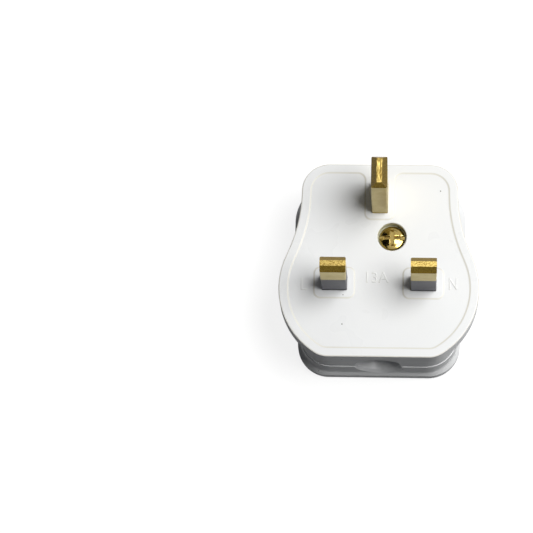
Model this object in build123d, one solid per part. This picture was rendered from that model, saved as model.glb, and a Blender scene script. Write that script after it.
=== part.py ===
"""A rewirable three-pin mains plug with a cartridge fuse.

All sizes are in millimetres. The plug rests on the back of its cover with its
pins up. The origin is on that back face, behind the point midway between the
live and neutral pins. +Z runs out along the pins, +Y runs from the cord side
to the earth pin, and the live pin is on the -X side.
"""
from build123d import *
from math import atan2, cos, hypot, radians, sin, tan
import os

# The standard pins
line_pitch = 22.225          # live to neutral, centre to centre
earth_pitch = 22.225         # from the line of those two to the earth pin
line_width = 6.35
line_depth = 3.97
line_reach = 17.7            # out of the engagement face
earth_width = 3.97
earth_depth = 8.05
earth_reach = 22.73
pin_edge_round = 0.35
line_bevel_width = 1.3       # on the two long edges of a line pin's tip
line_bevel_height = 1.5
earth_side_bevel = 1.3       # on the long edges of the earth pin's tip
earth_end_bevel = 0.9        # on its two short edges
earth_bevel_height = 1.9
sleeve_reach = 9.4
sleeve_wall = 0.6

# The housing's outline, measured from the line of the live and neutral pins
body_width = 39.4
cord_side = 19.0
earth_corner = 7.0
cord_corner = 8.0
wing_reach = 5.35            # how far each wing of the bell stands out of the body
bell_drop = 1.2              # the bell is widest this far below the line pins
bell_cut = 2.2               # of its circle, lost at the cord side
bell_foot_blend = 6.0
flank_angle = 22.0
flank_blend_share = 0.95     # of the neck's straight side, taken up by the blend
wing_thick = 5.0

# Heights
cover_height = 9.8           # back face to seam
base_height = 10.0           # seam to engagement face
face_round = 0.35
relief_depth = 0.15          # the panel lies this far below the rim and pads
relief_slope = 70.0          # lean of the step round it, in degrees
rim_width = 2.5
panel_corner = 1.8
line_pad_width = 10.5
line_pad_depth = 8.3
earth_pad_width = 7.8
earth_pad_margin = 1.85

# Walls
wall = 2.0
face_wall = 3.0
back_wall = 2.0
tongue_thick = 0.9
tongue_height = 1.1
seam_gap = 0.1
seam_lip = 0.2               # the cover stands this far proud of the base
overcut = 1.0                # how far a cut is drawn past what it cuts

# The cover's back plate
plate_side_margin = 2.2      # how far it stands out of the body on each side
plate_top_margin = 1.0
plate_foot_margin = 0.9
plate_top_corner = 11.5
plate_foot_corner = 8.0
grip_step = 1.35             # the plate narrows by this under the wings
grip_step_drop = 3.0         # middle of the step, below the line pins
grip_step_run = 2.4
step_blend_share = 0.91      # of the step's slope, taken up by its two blends
plate_edge = 3.3
plate_round = 1.4
flare_angle = 30.0
flare_blend = 1.5

# The cord entry
entry_height = 10.5          # its axis above the back face
entry_lip = 0.75             # the mouth's bevelled edge, seen from outside
entry_lip_depth = 0.6
entry_mouth_radius = 5.3     # inside the lip
entry_throat_radius = 4.6
entry_length = 3.2
entry_side = 2.3             # solid on each side of the mouth

# The cover screw and its nut
screw_x = 3.15
screw_room = 0.775           # between its boss and the earth terminal
screw_head_radius = 3.15
screw_head_height = 1.4
screw_rim_bevel = 0.3
screw_dome = 0.6
screw_dome_radius = 2.45     # where the dome rises from the head's flat rim
screw_shank_radius = 1.75
screw_past_nut = 1.8
screw_slot_width = 0.9
screw_slot_depth = 1.0
screw_cross_length = 4.2
screw_cross_depth = 1.4
counterbore_radius = 3.62
counterbore_depth = 2.7
counterbore_bevel = 0.15
shank_gap = 0.25
boss_radius = 4.6
boss_height = 4.2            # below the inside of the engagement wall
keeper_radius = 3.9
keeper_thick = 0.8
post_gap = 0.2
nut_flats = 6.0
nut_thick = 2.6
nut_gap = 0.05
nut_bore_depth = 3.0         # room for the screw's end under the nut

# Terminals
head_seat = 1.0              # pin heads sit this deep in the inner wall
fit_gap = 0.06
pillar_height = 9.0          # from the inside of the wall towards the cover
pillar_width = 8.0
pillar_edge_round = 0.5
neutral_pillar_depth = 7.0
earth_pillar_depth = 9.6
earth_room = 2.025           # between the earth terminal and the housing's inner side
live_room = 1.0              # the same for the live terminal
wire_hole_radius = 1.5
wire_hole_height = 4.4       # above the pillar's free end
clamp_radius = 1.6
clamp_head_radius = 2.4
clamp_head_height = 1.6
clamp_slot_width = 0.8
clamp_slot_depth = 0.7
clamp_head_bevel = 0.2       # share of the head's height

# The fuse and its clips
fuse_length = 25.4
fuse_radius = 3.175
cap_length = 5.8
cap_wall = 0.3
cap_end = 0.4
cap_bevel = 0.3
tube_wall = 1.1
element_radius = 0.15
clip_gap = 0.05
clip_thick = 0.5
clip_width = 4.6             # along the fuse
clip_strap = 4.8             # across the fuse
clip_mouth_angle = 62.0      # half of the opening
clip_lip = 1.3
clip_lip_root = 0.2          # of the lip, inside the curve of the clip
clip_lip_lean = 21.7         # degrees from upright
live_head_width = 7.6
live_head_depth = 6.0
live_head_height = 2.4       # below the inside of the wall
live_pillar_width = 7.0
live_pillar_depth = 4.8
live_pillar_inset = 0.6      # towards the middle from the fuse's axis
fuse_end_gap = 0.5
strap_tail = 0.8             # clip strap let into the live pillar

# The cord grip
grip_x = 10.0
grip_wall_gap = 0.3          # between the entry's wall and the bar
grip_boss_radius = 3.1
grip_boss_end = 8.6          # above the back face
grip_screw_radius = 1.3
grip_screw_length = 9.0
grip_screw_room = 0.5        # past its end
grip_head_radius = 2.6
grip_head_height = 1.7
grip_bar_width = 6.2
grip_bar_thick = 2.8
grip_hole_gap = 0.3
grip_notch_radius = 7.0
grip_notch_depth = 0.9
saddle_thick = 1.4
saddle_height = 2.6
saddle_half = 5.2
saddle_dip_radius = 6.0
saddle_dip = 1.4

# Ribs inside
rib_thick = 1.2
rib_end_gap = 0.6            # between a rib's free edge and the seam

# Heights worked out from the above
seam_z = cover_height
face_z = cover_height + base_height
floor_z = face_z - face_wall
head_top_z = floor_z + head_seat
pillar_end_z = floor_z - pillar_height
wire_hole_z = pillar_end_z + wire_hole_height
live_head_z = floor_z - live_head_height
fuse_z = live_head_z - clip_thick - clip_gap - fuse_radius
screw_seat_z = face_z - counterbore_depth
boss_end_z = floor_z - boss_height
keeper_end_z = boss_end_z - keeper_thick
post_end_z = keeper_end_z - post_gap
nut_low_z = post_end_z - nut_gap - nut_thick
screw_end_z = nut_low_z - screw_past_nut
grip_seat_z = grip_boss_end - grip_bar_thick
grip_screw_end_z = grip_seat_z + grip_screw_length

# Outline sizes worked out from the above
earth_side = earth_pitch + earth_pillar_depth / 2 + earth_room + wall
middle_y = (earth_side - cord_side) / 2
bell_radius = cord_side - bell_drop + bell_cut
bell_width = body_width + 2 * wing_reach
plate_half_top = body_width / 2 + plate_side_margin
plate_half_foot = plate_half_top - grip_step
plate_top = earth_side + plate_top_margin
plate_foot = cord_side + plate_foot_margin
step_angle = atan2(grip_step, grip_step_run)
step_slope = hypot(grip_step, grip_step_run)
grip_step_blend = step_blend_share * step_slope / 2 / tan(step_angle / 2)

# Places worked out from the above
live_x = -line_pitch / 2
neutral_x = line_pitch / 2
screw_y = earth_pitch - earth_pillar_depth / 2 - screw_room - boss_radius
live_pillar_x = live_x + live_pillar_inset
live_pillar_y = earth_side - wall - live_room - live_pillar_depth / 2
fuse_high_y = live_pillar_y - live_pillar_depth / 2 - fuse_end_gap
fuse_low_y = fuse_high_y - fuse_length
upper_clip_y = fuse_high_y - cap_length / 2
lower_clip_y = fuse_low_y + cap_length / 2
live_head_y = lower_clip_y / 2
live_head_span = live_head_depth + abs(lower_clip_y)
strap_end_y = fuse_high_y + fuse_end_gap + strap_tail
rib_x = (pillar_width / 2 - live_pillar_x - live_pillar_width / 2) / 2
grip_y = entry_length + grip_wall_gap + grip_bar_width / 2 - cord_side


def at_heights(outline, low, high, taper=0.0):
    """The outline as a solid between two heights, drawn in by taper degrees."""
    return extrude(Pos(0, 0, low) * outline, amount=high - low, taper=taper)


def block(x, y, width, depth, low, high):
    """An upright block about a centre, between two heights."""
    return Pos(x, y, (low + high) / 2) * Box(width, depth, high - low)


def rod(x, y, radius, low, high):
    """An upright rod between two heights."""
    return Pos(x, y, (low + high) / 2) * Cylinder(radius, high - low)


def rod_along_x(x, y, z, radius, length):
    """A rod that lies along X, about its middle."""
    return Pos(x, y, z) * Rot(0, 90, 0) * Cylinder(radius, length)


def rod_along_y(x, y, z, radius, length):
    """A rod that lies along Y, about its middle."""
    return Pos(x, y, z) * Rot(90, 0, 0) * Cylinder(radius, length)


def corner_points(sketch, x, y):
    """The sketch's vertices at a point and at its mirror image."""
    return [v for v in sketch.vertices() if abs(abs(v.X) - x) < 0.01 and abs(v.Y - y) < 0.01]


def rounded_blade(x, y, width, depth, low, high, edge):
    """An upright blade with its four long edges rounded."""
    return at_heights(Pos(x, y) * RectangleRounded(width, depth, edge), low, high)


# Outlines

def body_outline(grow=0.0):
    """The body's rounded rectangle, grown or shrunk by a margin."""
    half = body_width / 2
    outline = Pos(0, middle_y) * Rectangle(body_width, earth_side + cord_side)
    outline = fillet(corner_points(outline, half, earth_side), earth_corner)
    outline = fillet(corner_points(outline, half, -cord_side), cord_corner)
    return offset(outline, grow) if grow else outline


def face_outline():
    """The body with the bell's two wings and the flanks that run into the neck."""
    arc_x = bell_width / 2 - bell_radius
    angle = radians(flank_angle)
    touch_x = arc_x + bell_radius * cos(angle)
    touch_y = bell_radius * sin(angle) - bell_drop
    neck_x = body_width / 2
    neck_y = touch_y + (touch_x - neck_x) / tan(angle)
    bell = Pos(0, -bell_drop) * Rectangle(2 * arc_x, 2 * bell_radius)
    for side in (-1, 1):
        bell += Pos(side * arc_x, -bell_drop) * Circle(bell_radius)
    bell += Polygon((touch_x, touch_y), (neck_x, neck_y), (-neck_x, neck_y), (-touch_x, touch_y), align=None)
    bell &= Pos(0, middle_y) * Rectangle(2 * bell_width, earth_side + cord_side)
    foot_x = arc_x + (bell_radius**2 - (cord_side - bell_drop)**2)**0.5
    bell = fillet(corner_points(bell, foot_x, -cord_side), bell_foot_blend)
    outline = bell + body_outline()
    blend = flank_blend_share * (earth_side - earth_corner - neck_y) / tan(angle / 2)
    return fillet(corner_points(outline, neck_x, neck_y), blend)


def plate_outline():
    """The cover's back plate, with a step in each side under the wings."""
    step_low = -grip_step_drop - grip_step_run / 2
    step_high = -grip_step_drop + grip_step_run / 2
    right = [(plate_half_foot, -plate_foot), (plate_half_foot, step_low),
             (plate_half_top, step_high), (plate_half_top, plate_top)]
    left = [(-x, y) for x, y in reversed(right)]
    outline = make_face(Polyline(*right, *left, close=True))
    outline = fillet(corner_points(outline, plate_half_top, plate_top), plate_top_corner)
    outline = fillet(corner_points(outline, plate_half_foot, -plate_foot), plate_foot_corner)
    steps = corner_points(outline, plate_half_foot, step_low)
    steps += corner_points(outline, plate_half_top, step_high)
    return fillet(steps, grip_step_blend)


def panel_outline():
    """The sunk panel of the engagement face, round its raised pads."""
    panel = offset(face_outline(), -rim_width, kind=Kind.INTERSECTION)
    for x in (live_x, neutral_x):
        panel -= Pos(x, 0) * RectangleRounded(line_pad_width, line_pad_depth, panel_corner)
    pad_foot = earth_pitch - earth_depth / 2 - earth_pad_margin
    pad_top = earth_side - rim_width
    pad = Pos(0, (pad_foot + earth_side) / 2) * Rectangle(earth_pad_width, earth_side - pad_foot)
    pad = fillet(corner_points(pad, earth_pad_width / 2, pad_foot), panel_corner)
    panel -= pad
    return fillet(corner_points(panel, earth_pad_width / 2, pad_top), panel_corner)


def seam_band(inner, outer):
    """The ring of the outline that lies between two depths of the wall."""
    return body_outline(-inner) - body_outline(-outer)


# The cord entry and the places for screws

def entry_tool():
    """The cord's way in: a bevelled mouth and a funnel that narrows to a round throat."""
    mouth_y = -cord_side - seam_lip
    throat_y = -cord_side + entry_length
    outer_y = mouth_y - overcut
    inner_y = throat_y + overcut
    lip_radius = entry_mouth_radius + entry_lip
    profile = make_face(Polyline(
        (0, outer_y), (lip_radius, outer_y), (lip_radius, mouth_y),
        (entry_mouth_radius, mouth_y + entry_lip_depth), (entry_throat_radius, throat_y),
        (entry_throat_radius, inner_y), (0, inner_y), close=True))
    return Pos(0, 0, entry_height) * revolve(profile, Axis.Y)


def entry_wall(low, high):
    """The thick wall that the cord entry runs through."""
    depth = entry_length
    return block(0, -cord_side + depth / 2, 2 * (entry_mouth_radius + entry_side), depth, low, high)


def clamp_screw(x, y, seat_z, end_z, radius, head_radius, head_height):
    """A cheese-head screw driven from the cover side, with a slot in its head."""
    head = rod(x, y, head_radius, seat_z - head_height, seat_z)
    head = chamfer(head.edges().group_by(Axis.Z)[0], head_height * clamp_head_bevel)
    slot_z = seat_z - head_height
    slot_length = 2 * head_radius + overcut
    slot = block(x, y, slot_length, clamp_slot_width, slot_z - overcut, slot_z + clamp_slot_depth)
    return head - slot + rod(x, y, radius, seat_z, end_z)


def counterbore_rim():
    """The cone that bevels the counterbore's edge in the panel."""
    low = face_z - relief_depth - counterbore_bevel
    height = counterbore_bevel + overcut
    return Pos(screw_x, screw_y, low + height / 2) * Cone(counterbore_radius, counterbore_radius + height, height)


# The housing

def make_pin_base():
    """The moulded base that carries the pins, with its bell-shaped face."""
    base = at_heights(face_outline(), face_z - wing_thick, face_z)
    base = fillet(base.faces().sort_by(Axis.Z)[-1].edges(), face_round)
    base += at_heights(body_outline(), seam_z, face_z - wing_thick)
    base -= at_heights(body_outline(-wall), seam_z, floor_z)

    # posts, seats and ribs that stand on the inner wall
    inner = entry_wall(seam_z, floor_z)
    inner += rod(screw_x, screw_y, boss_radius, boss_end_z, floor_z)
    for x in (-grip_x, grip_x):
        inner += rod(x, grip_y, grip_boss_radius, grip_boss_end, floor_z)
    saddle = block(0, grip_y, 2 * saddle_half, saddle_thick, floor_z - saddle_height, floor_z)
    dip_z = floor_z - saddle_height + saddle_dip - saddle_dip_radius
    inner += saddle - rod_along_y(0, grip_y, dip_z, saddle_dip_radius, 2 * saddle_thick)
    inner += block(live_x, upper_clip_y, clip_strap, clip_width, live_head_z, floor_z)
    rib_foot = earth_pitch - earth_pillar_depth / 2
    rib_top = earth_side - wall
    rib_y = (rib_foot + rib_top) / 2
    for x in (-rib_x, rib_x):
        inner += block(x, rib_y, rib_thick, rib_top - rib_foot, seam_z + rib_end_gap, floor_z)
    base += inner

    # the rebate that takes the cover's tongue
    rebate = seam_band(wall - tongue_thick - seam_gap, wall + seam_gap)
    base -= at_heights(rebate, seam_z, seam_z + tongue_height + seam_gap)

    # slots for the pins and seats for their heads
    slots = [(live_x, 0, line_width, line_depth),
             (neutral_x, 0, line_width, line_depth),
             (0, earth_pitch, earth_width, earth_depth)]
    for x, y, width, depth in slots:
        base -= rounded_blade(x, y, width + 2 * fit_gap, depth + 2 * fit_gap, floor_z, face_z, pin_edge_round)
    seats = [(live_x, live_head_y, live_head_width, live_head_span),
             (neutral_x, 0, pillar_width, neutral_pillar_depth),
             (0, earth_pitch, pillar_width, earth_pillar_depth),
             (live_pillar_x, live_pillar_y, live_pillar_width, live_pillar_depth)]
    for x, y, width, depth in seats:
        base -= block(x, y, width + 2 * fit_gap, depth + 2 * fit_gap, floor_z, head_top_z)

    # holes for the cover screw and the cord grip's screws
    base -= rod(screw_x, screw_y, counterbore_radius, screw_seat_z, face_z)
    base -= counterbore_rim()
    base -= rod(screw_x, screw_y, screw_shank_radius + shank_gap, boss_end_z, screw_seat_z)
    for x in (-grip_x, grip_x):
        base -= rod(x, grip_y, grip_screw_radius, grip_boss_end, grip_screw_end_z + grip_screw_room)
    base -= entry_tool()

    # the sunk panel of the engagement face
    base -= at_heights(panel_outline(), face_z - relief_depth, face_z, -relief_slope)
    return base


def flare_foot(cover):
    """The loop of edges where the flare runs into the cover's upright wall."""
    low = plate_edge + seam_lip
    high = seam_z - seam_lip
    return [e for e in cover.edges() if all(low < v.Z < high for v in e.vertices())]


def make_rear_cover():
    """The deep back cover, which flares out to a plate for the fingers."""
    plate = at_heights(plate_outline(), 0, plate_edge)
    plate = fillet(plate.faces().sort_by(Axis.Z)[0].edges(), plate_round)
    flare_width = plate_half_top - body_width / 2
    flare_height = flare_width / tan(radians(flare_angle))
    cover = plate + at_heights(plate_outline(), plate_edge, plate_edge + flare_height, flare_angle)
    cover += at_heights(body_outline(seam_lip), plate_edge, seam_z)
    cover = fillet(flare_foot(cover), flare_blend)
    cover -= at_heights(body_outline(-wall), back_wall, seam_z)
    cover += at_heights(seam_band(wall - tongue_thick, wall), seam_z, seam_z + tongue_height)
    cover += entry_wall(back_wall, seam_z)
    cover += rod(screw_x, screw_y, boss_radius, back_wall, post_end_z)
    pocket = RegularPolygon(nut_flats / 2 + nut_gap, 6, major_radius=False)
    cover -= at_heights(Pos(screw_x, screw_y) * pocket, nut_low_z, post_end_z)
    cover -= rod(screw_x, screw_y, screw_shank_radius + shank_gap, nut_low_z - nut_bore_depth, nut_low_z)
    return cover - entry_tool()


# The pins

def beveled_tip(x, y, width, depth, top, bevel_x, bevel_y, height):
    """What a pin's tip loses: the outside of a bevelled block."""
    low = top - height
    tip = loft([Pos(x, y, low) * Rectangle(width, depth),
                Pos(x, y, top) * Rectangle(width - 2 * bevel_x, depth - 2 * bevel_y)])
    return block(x, y, width + overcut, depth + overcut, low, top + overcut) - tip


def pillar(x, y, width, depth, low, high, along_x=False):
    """A terminal block with a hole for the wire and a hole for its clamp screw."""
    post = block(x, y, width, depth, low, high)
    post = fillet(post.edges().filter_by(Axis.Z), pillar_edge_round)
    wire = rod_along_x if along_x else rod_along_y
    post -= wire(x, y, wire_hole_z, wire_hole_radius, width + depth)
    return post - rod(x, y, clamp_radius, low, wire_hole_z)


def make_earth_pin():
    """The long earth pin and its terminal, in one piece."""
    top = face_z + earth_reach
    pin = rounded_blade(0, earth_pitch, earth_width, earth_depth, head_top_z, top, pin_edge_round)
    pin -= beveled_tip(0, earth_pitch, earth_width, earth_depth, top, earth_side_bevel, earth_end_bevel,
                       earth_bevel_height)
    return pin + pillar(0, earth_pitch, pillar_width, earth_pillar_depth, pillar_end_z, head_top_z)


def pin_neck(x):
    """The thinner foot of a line pin, which the sleeve goes round."""
    width = line_width - 2 * sleeve_wall
    depth = line_depth - 2 * sleeve_wall
    return block(x, 0, width, depth, head_top_z, face_z + sleeve_reach)


def line_blade(x):
    """A line pin's blade, necked where the sleeve sits."""
    top = face_z + line_reach
    neck_top = face_z + sleeve_reach
    blade = rounded_blade(x, 0, line_width, line_depth, neck_top, top, pin_edge_round)
    blade -= beveled_tip(x, 0, line_width, line_depth, top, 0, line_bevel_width, line_bevel_height)
    return blade + pin_neck(x)


def make_sleeve(x):
    """The insulation round the foot of a line pin."""
    neck_top = face_z + sleeve_reach
    sleeve = rounded_blade(x, 0, line_width, line_depth, head_top_z, neck_top, pin_edge_round)
    return sleeve - pin_neck(x)


def make_neutral_pin():
    """The neutral pin on its terminal."""
    terminal = pillar(neutral_x, 0, pillar_width, neutral_pillar_depth, pillar_end_z, head_top_z)
    return line_blade(neutral_x) + terminal


def make_live_pin():
    """The live pin on the flat head that carries the fuse's lower clip."""
    head = block(live_x, live_head_y, live_head_width, live_head_span, live_head_z, head_top_z)
    return line_blade(live_x) + fillet(head.edges().filter_by(Axis.Z), pillar_edge_round)


# The fuse, its clips and the live terminal

def make_fuse_clip(y, strap_end=None):
    """A spring clip that holds one end of the fuse, on a flat strap."""
    inner = fuse_radius + clip_gap
    outer = inner + clip_thick
    section = Circle(outer) - Circle(inner)
    mouth = radians(clip_mouth_angle)
    wedge_x = 4 * outer * sin(mouth)
    wedge_y = -4 * outer * cos(mouth)
    section -= Polygon((0, 0), (wedge_x, wedge_y), (-wedge_x, wedge_y), align=None)
    middle = (inner + outer) / 2
    for side in (-1, 1):
        lip = Pos(0, -clip_lip / 2) * Rectangle(clip_thick, clip_lip + clip_lip_root)
        turned = Rot(0, 0, side * clip_lip_lean) * lip
        section += Pos(side * middle * sin(mouth), -middle * cos(mouth)) * turned
    section += Pos(0, inner + clip_thick / 2) * Rectangle(clip_strap, clip_thick)
    clip = extrude(Plane.XZ * section, amount=clip_width / 2, both=True)
    clip = Pos(live_x, y, fuse_z) * clip
    if strap_end is not None:
        strap_y = (y + strap_end) / 2
        clip += block(live_x, strap_y, clip_strap, strap_end - y, live_head_z - clip_thick, live_head_z)
    return clip


def make_live_terminal():
    """The live wire's terminal, which the upper clip's strap runs into."""
    post = pillar(live_pillar_x, live_pillar_y, live_pillar_width, live_pillar_depth,
                  pillar_end_z, head_top_z, along_x=True)
    tail_y = strap_end_y - strap_tail / 2
    return post - block(live_x, tail_y, clip_strap, strap_tail, live_head_z - clip_thick, live_head_z)


def make_fuse_tube():
    """The fuse's ceramic body."""
    outer = fuse_radius - cap_wall
    length = fuse_length - 2 * cap_end
    y = (fuse_low_y + fuse_high_y) / 2
    tube = rod_along_y(live_x, y, fuse_z, outer, length)
    return tube - rod_along_y(live_x, y, fuse_z, outer - tube_wall, length)


def make_fuse_cap(end_y, inward):
    """One end cap; inward is +1 or -1 along Y, towards the fuse's middle."""
    cap = rod_along_y(live_x, end_y + inward * cap_length / 2, fuse_z, fuse_radius, cap_length)
    rims = cap.edges().filter_by(GeomType.CIRCLE).sort_by(Axis.Y)
    cap = chamfer(rims[0 if inward > 0 else -1], cap_bevel)
    hollow = cap_length - cap_end
    hollow_y = end_y + inward * (cap_end + hollow / 2)
    return cap - rod_along_y(live_x, hollow_y, fuse_z, fuse_radius - cap_wall, hollow)


def make_fuse_element():
    """The wire that runs through the fuse."""
    y = (fuse_low_y + fuse_high_y) / 2
    return rod_along_y(live_x, y, fuse_z, element_radius, fuse_length - 2 * cap_end)


# Screws, nut and washer

def make_cover_screw():
    """The screw that holds the two halves, with a slot and a cross in its domed head."""
    top = screw_seat_z + screw_head_height
    head = rod(screw_x, screw_y, screw_head_radius, screw_seat_z, top)
    head = chamfer(head.edges().group_by(Axis.Z)[-1], screw_rim_bevel)
    ball_radius = (screw_dome_radius**2 + screw_dome**2) / (2 * screw_dome)
    ball = Pos(screw_x, screw_y, top + screw_dome - ball_radius) * Sphere(ball_radius)
    head += ball & rod(screw_x, screw_y, screw_head_radius, top, top + overcut)
    slot_z = top + screw_dome
    slot_length = 2 * screw_head_radius + overcut
    slot_low = slot_z - screw_slot_depth
    head -= block(screw_x, screw_y, slot_length, screw_slot_width, slot_low, slot_z + overcut)
    for turn in (0, 90):
        arm = Box(screw_cross_length, screw_slot_width, 2 * screw_cross_depth)
        head -= Pos(screw_x, screw_y, slot_z) * Rot(0, 0, turn) * arm
    return head + rod(screw_x, screw_y, screw_shank_radius, screw_end_z, screw_seat_z)


def make_screw_keeper():
    """The fibre washer that keeps the screw in the base."""
    disc = rod(screw_x, screw_y, keeper_radius, keeper_end_z, boss_end_z)
    return disc - rod(screw_x, screw_y, screw_shank_radius, keeper_end_z, boss_end_z)


def make_cover_nut():
    """The hexagonal nut in the cover's post."""
    nut = at_heights(Pos(screw_x, screw_y) * RegularPolygon(nut_flats / 2, 6, major_radius=False),
                     nut_low_z, nut_low_z + nut_thick)
    return nut - rod(screw_x, screw_y, screw_shank_radius, nut_low_z, nut_low_z + nut_thick)


def make_terminal_screw(x, y):
    """The screw that clamps a wire in a terminal."""
    return clamp_screw(x, y, pillar_end_z, wire_hole_z, clamp_radius, clamp_head_radius, clamp_head_height)


# The cord grip

def make_cord_grip_bar():
    """The bar that presses the cord onto the saddle."""
    length = 2 * (grip_x + grip_bar_width / 2)
    bar = at_heights(Pos(0, grip_y) * SlotOverall(length, grip_bar_width), grip_seat_z, grip_boss_end)
    for x in (-grip_x, grip_x):
        bar -= rod(x, grip_y, grip_screw_radius + grip_hole_gap, grip_seat_z, grip_boss_end)
    notch_z = grip_boss_end - grip_notch_depth + grip_notch_radius
    return bar - rod_along_y(0, grip_y, notch_z, grip_notch_radius, 2 * grip_bar_width)


def make_cord_grip_screw(x):
    """One of the two screws that draw the bar down."""
    return clamp_screw(x, grip_y, grip_seat_z, grip_screw_end_z, grip_screw_radius, grip_head_radius,
                       grip_head_height)


parts = {
    "pin_base": make_pin_base(),
    "rear_cover": make_rear_cover(),
    "earth_pin": make_earth_pin(),
    "neutral_pin": make_neutral_pin(),
    "live_pin": make_live_pin(),
    "neutral_sleeve": make_sleeve(neutral_x),
    "live_sleeve": make_sleeve(live_x),
    "cover_screw": make_cover_screw(),
    "screw_keeper": make_screw_keeper(),
    "cover_nut": make_cover_nut(),
    "earth_terminal_screw": make_terminal_screw(0, earth_pitch),
    "neutral_terminal_screw": make_terminal_screw(neutral_x, 0),
    "live_terminal_screw": make_terminal_screw(live_pillar_x, live_pillar_y),
    "live_terminal": make_live_terminal(),
    "fuse_clip_lower": make_fuse_clip(lower_clip_y),
    "fuse_clip_upper": make_fuse_clip(upper_clip_y, strap_end_y),
    "fuse_tube": make_fuse_tube(),
    "fuse_cap_lower": make_fuse_cap(fuse_low_y, 1),
    "fuse_cap_upper": make_fuse_cap(fuse_high_y, -1),
    "fuse_element": make_fuse_element(),
    "cord_grip_bar": make_cord_grip_bar(),
    "cord_grip_screw_left": make_cord_grip_screw(-grip_x),
    "cord_grip_screw_right": make_cord_grip_screw(grip_x),
}

os.makedirs("parts", exist_ok=True)
for name, solid in parts.items():
    export_step(solid, f"parts/{name}.step")
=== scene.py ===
"""Looks for a rewirable three-pin mains plug: finishes, threads, raised marks and a small studio."""

import logging
import math
from dataclasses import dataclass, field, replace
from enum import Enum
from typing import Callable

import bmesh
import bpy
from mathutils import Euler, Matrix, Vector


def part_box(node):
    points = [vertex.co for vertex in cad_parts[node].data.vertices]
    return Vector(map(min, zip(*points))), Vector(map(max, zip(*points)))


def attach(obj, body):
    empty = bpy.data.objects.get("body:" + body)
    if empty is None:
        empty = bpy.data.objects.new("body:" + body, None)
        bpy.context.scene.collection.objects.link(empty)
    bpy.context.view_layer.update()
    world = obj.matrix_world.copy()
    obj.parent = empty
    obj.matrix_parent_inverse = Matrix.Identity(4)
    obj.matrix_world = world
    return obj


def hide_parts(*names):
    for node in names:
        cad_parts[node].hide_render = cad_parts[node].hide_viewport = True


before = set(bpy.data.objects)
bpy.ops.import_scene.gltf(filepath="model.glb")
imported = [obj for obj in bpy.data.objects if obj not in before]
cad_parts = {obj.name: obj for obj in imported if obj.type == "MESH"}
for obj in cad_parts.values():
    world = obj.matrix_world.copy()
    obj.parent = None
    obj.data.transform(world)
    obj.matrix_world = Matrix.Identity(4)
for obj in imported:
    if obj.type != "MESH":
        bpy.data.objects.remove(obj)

log = logging.getLogger("plug")
BODY = "root"
MM = 0.001
Colour = tuple[float, float, float]
Point = tuple[float, float, float]
Span = tuple[float, float]
Socket = bpy.types.NodeSocket
Tree = bpy.types.NodeTree
WHITE = (1.0, 1.0, 1.0, 1.0)
UP: Point = (0.0, 0.0, 1.0)
LEVEL: Point = (1.0, 1.0, 0.0)


class Shading(Enum):
    """How a piece's faces meet at its edges, as the angle in degrees past which an edge stays crisp."""

    CRISP = 20.0
    SOFT = 32.0


class Cut(Enum):
    """The depth of a screw's thread, as a share of its pitch."""

    MACHINE = 0.55
    TAPPING = 0.4


class Mix(Enum):
    """What a Mix node mixes: its data type, the numbers of its two inputs, and that of its output."""

    COLOUR = ("RGBA", 6, 7, 2)
    VECTOR = ("VECTOR", 4, 5, 1)


# Short ways to build node trees


def put(tree: Tree, kind: str, inputs: dict | None = None, **settings) -> bpy.types.Node:
    """Adds one node.

    Args:
        tree: the node tree it goes into.
        kind: the node's type name.
        inputs: values or sockets for its inputs, by name or number.
        settings: the node's own properties.

    Returns:
        The new node.
    """
    node = tree.nodes.new(kind)
    for name, value in settings.items():
        setattr(node, name, value)
    for name, value in (inputs or {}).items():
        if isinstance(value, Socket):
            tree.links.new(value, node.inputs[name])
        else:
            node.inputs[name].default_value = value
    return node


def maths(
    tree: Tree,
    operation: str,
    a: Socket | float,
    b: Socket | float = 0.0,
    c: Socket | float = 0.0,
    clamp: bool = False,
) -> Socket:
    """One sum on two or three values.

    Args:
        tree: the node tree.
        operation: the sum, as the Math node names it.
        a: the first value.
        b: the second value.
        c: the third value, where the sum has one.
        clamp: keeps the result between 0 and 1.

    Returns:
        The result's socket.
    """
    return put(tree, "ShaderNodeMath", {0: a, 1: b, 2: c}, operation=operation, use_clamp=clamp).outputs[0]


def times(tree: Tree, a: Socket | float, b: Socket | float) -> Socket:
    """The product of two values, or what two masks have in common."""
    return maths(tree, "MULTIPLY", a, b)


def vector_maths(
    tree: Tree, operation: str, a: Socket, b: Socket | Point = (0.0, 0.0, 0.0)
) -> bpy.types.Node:
    """One sum on two vectors, as its node."""
    return put(tree, "ShaderNodeVectorMath", {0: a, 1: b}, operation=operation)


def spread(
    tree: Tree, value: Socket, low: float, high: float, to_low: float = 0.0, to_high: float = 1.0
) -> Socket:
    """Maps a value from one range to another, with soft ends.

    Args:
        tree: the node tree.
        value: what is mapped.
        low: where the range starts; it may be above its end.
        high: where it ends.
        to_low: the result at its start.
        to_high: the result at its end.

    Returns:
        The mapped value's socket.
    """
    inputs = {"Value": value, "From Min": low, "From Max": high, "To Min": to_low, "To Max": to_high}
    return put(tree, "ShaderNodeMapRange", inputs, interpolation_type="SMOOTHSTEP").outputs["Result"]


def mix(
    tree: Tree, kind: Mix, factor: Socket | float, under: Socket | tuple, over: Socket | tuple
) -> Socket:
    """Mixes two colours or two vectors.

    Args:
        tree: the node tree.
        kind: which of the two it mixes.
        factor: how much of the second one shows.
        under: the first one.
        over: the second one.

    Returns:
        The result's socket.
    """
    data_type, first, second, result = kind.value
    inputs = {0: factor, first: under, second: over}
    return put(tree, "ShaderNodeMix", inputs, data_type=data_type).outputs[result]


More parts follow.
